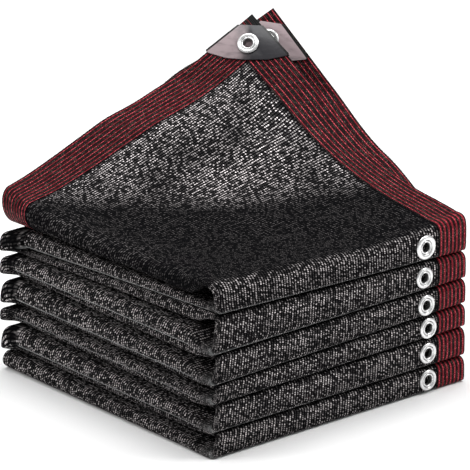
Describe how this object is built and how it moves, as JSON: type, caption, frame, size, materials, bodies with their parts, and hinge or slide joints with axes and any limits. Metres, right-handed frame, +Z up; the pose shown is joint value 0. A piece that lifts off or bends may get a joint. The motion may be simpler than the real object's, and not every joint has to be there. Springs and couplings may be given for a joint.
{
  "type": "shade cloth",
  "caption": "Black knitted shade cloth with striped edge tape and metal eyelets, folded back and forth into a square stack with its top corner raised.",
  "frame": {"origin": "the middle of the folded stack's square outline, on the surface that it rests on", "axes": "+Z up; +X along the front turns towards the taped open edges; +Y from the front turns to the back turns, so the raised corner is at +X +Y"},
  "size_m": [0.3585, 0.3322, 0.3241],
  "materials": {
    "black_knit": "glossy black knitted plastic yarn",
    "striped_tape": "black and red striped knitted tape",
    "eyelet_metal": "bright rolled metal",
    "smoked_plastic": "smoked plastic with polished edges"
  },
  "bodies": {
    "root": {"cloth": "black_knit", "eyelet_band": "black_knit", "edge_tape_outer": "striped_tape", "edge_tape_inner": "striped_tape", "end_tape": "striped_tape", "eyelet_1": "eyelet_metal", "eyelet_2": "eyelet_metal", "eyelet_3": "eyelet_metal", "eyelet_4": "eyelet_metal", "eyelet_5": "eyelet_metal", "eyelet_6": "eyelet_metal", "corner_eyelet_outer": "eyelet_metal", "corner_eyelet_inner": "eyelet_metal", "corner_plate_outer_front": "smoked_plastic", "corner_plate_outer_back": "smoked_plastic", "corner_plate_inner_front": "smoked_plastic", "corner_plate_inner_back": "smoked_plastic"}
  },
  "joints": []
}
